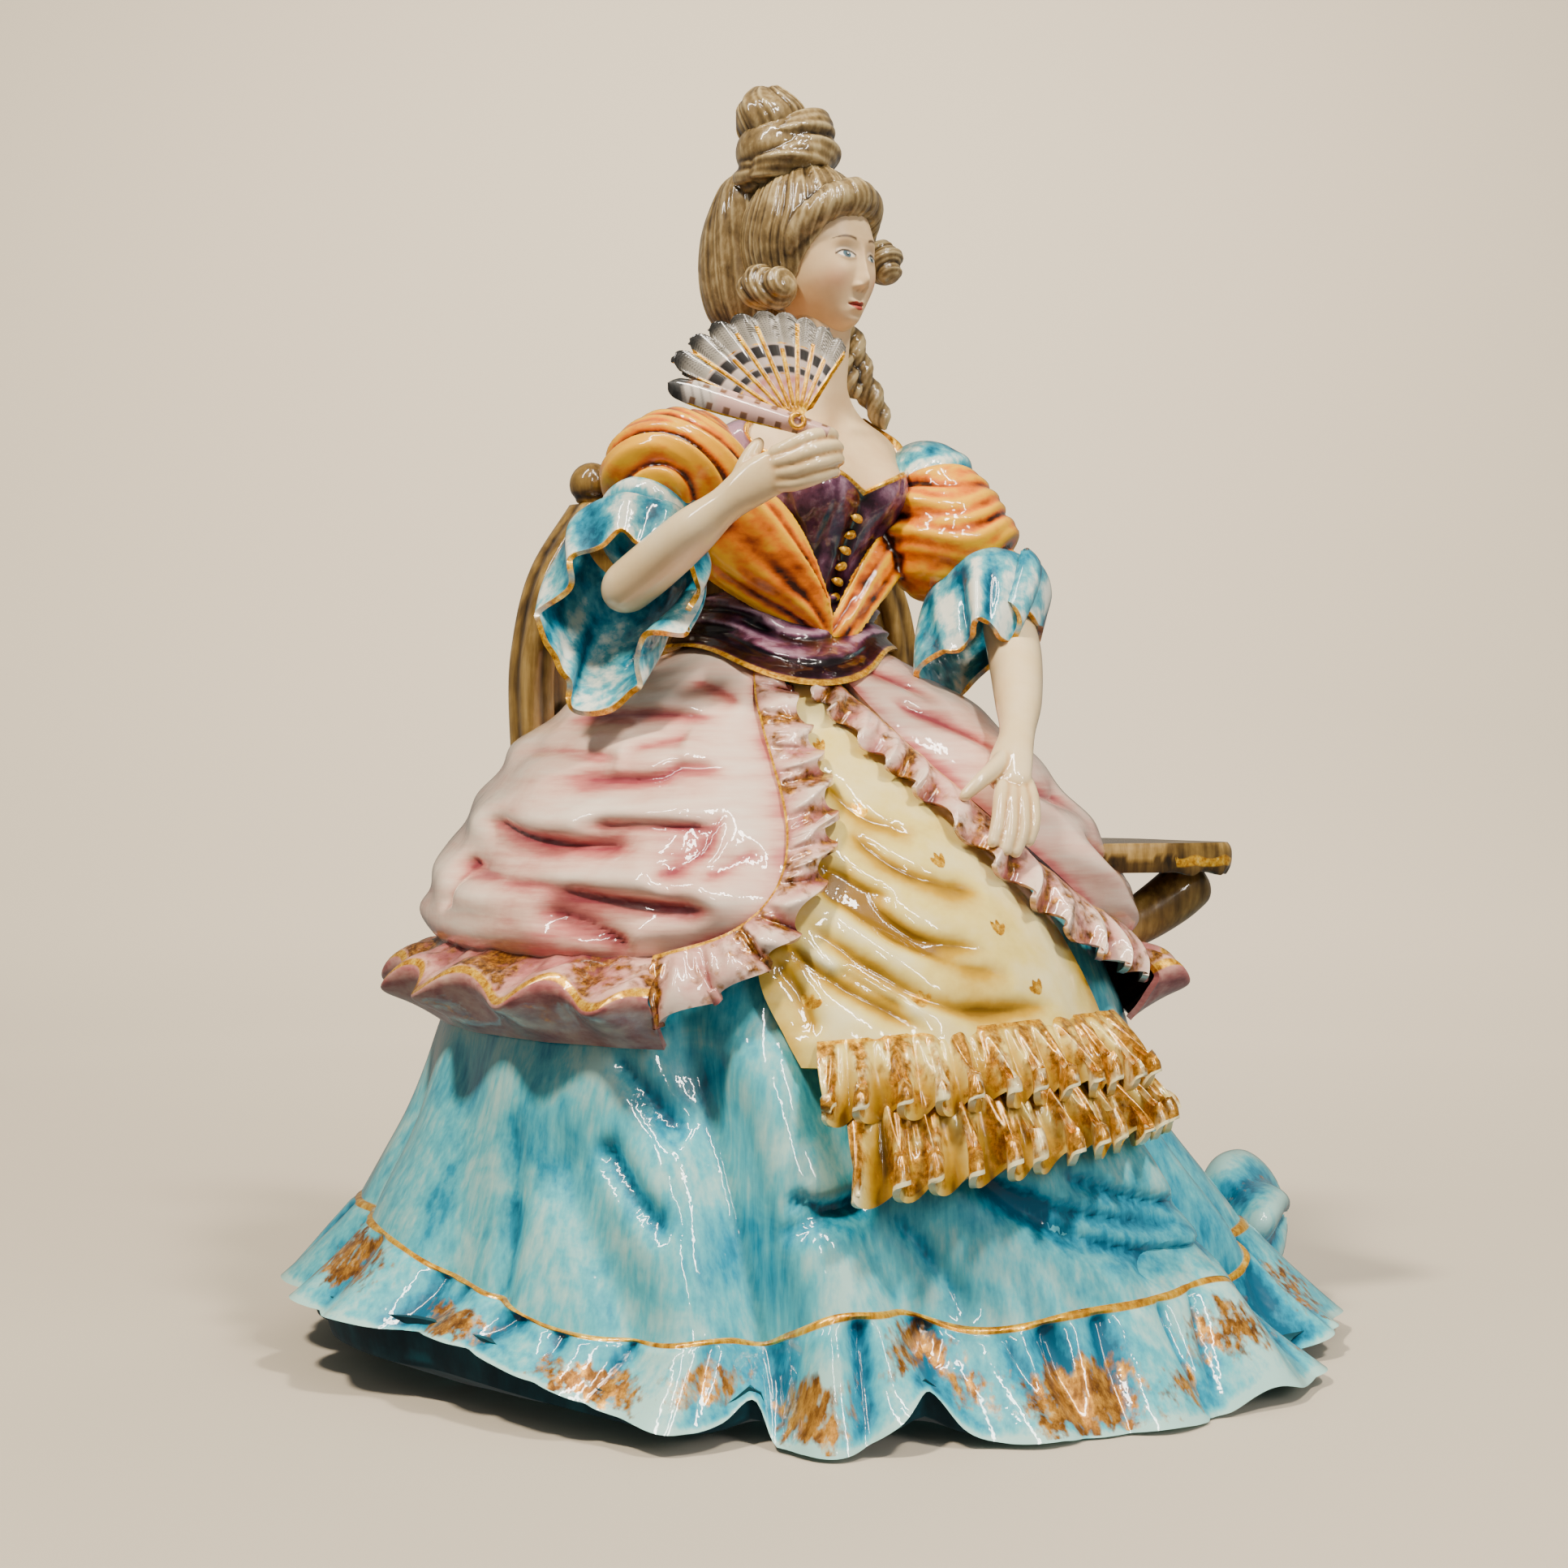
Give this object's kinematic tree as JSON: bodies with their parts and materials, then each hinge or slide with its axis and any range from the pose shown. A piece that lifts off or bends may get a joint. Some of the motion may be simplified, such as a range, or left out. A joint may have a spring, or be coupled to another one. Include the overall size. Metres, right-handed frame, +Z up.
{
  "type": "ceramic lady figurine",
  "caption": "Glazed ceramic figure of a lady in a ruffled dress, seated on a chair and holding an open fan; a free-standing ornament on a flat foot.",
  "frame": {"origin": "on the flat resting face, under the middle of the skirt's hem", "axes": "+Z up; -Y towards the viewer who sees the figure as pictured; +X to that viewer's right"},
  "size_m": [0.2735, 0.244, 0.34],
  "materials": {
    "turquoise": "mottled turquoise gloss glaze with gold lustre on the flounce and cuff rims",
    "dark_teal": "dark teal gloss glaze",
    "flesh": "ivory flesh glaze, satin on the face",
    "aubergine": "dark aubergine gloss glaze",
    "amber": "amber gloss glaze",
    "taupe": "taupe gloss glaze over dark grooves",
    "slate_rose": "pale rose and slate gloss glaze with gold lustre",
    "cream": "cream gloss glaze with ochre folds and gold lustre ruffles",
    "rose": "white gloss glaze with rose washes in the folds",
    "olive": "olive brown gloss glaze with gold lustre trim"
  },
  "bodies": {
    "root": {"skirt": "turquoise", "skirt_yoke": "turquoise", "hem_flounce": "turquoise", "train_fold": "turquoise", "sleeve_right": "turquoise", "sleeve_left": "turquoise", "cuff_right": "turquoise", "cuff_left": "turquoise", "base_dish": "dark_teal", "bust_core": "flesh", "head": "flesh", "forearm_right": "flesh", "forearm_left": "flesh", "bodice": "aubergine", "waist_sash": "aubergine", "shawl_right": "amber", "shawl_left": "amber", "hair_cap": "taupe", "chignon": "taupe", "topknot_lower": "taupe", "topknot_upper": "taupe", "curl_right": "taupe", "curl_left": "taupe", "ringlet": "taupe", "fan_leaf": "slate_rose", "fan_guard": "slate_rose", "apron": "cream", "apron_ruffle_upper": "cream", "apron_ruffle_lower": "cream", "pannier_right": "rose", "pannier_left": "rose", "ruffle_right_front": "rose", "ruffle_left_front": "rose", "ruffle_right_side": "rose", "ruffle_left_side": "rose", "chair_seat": "olive", "chair_bracket": "olive", "chair_back": "olive", "chair_stile_right": "olive", "chair_stile_left": "olive", "chair_top_rail": "olive", "finial_right": "olive", "finial_left": "olive"}
  },
  "joints": []
}
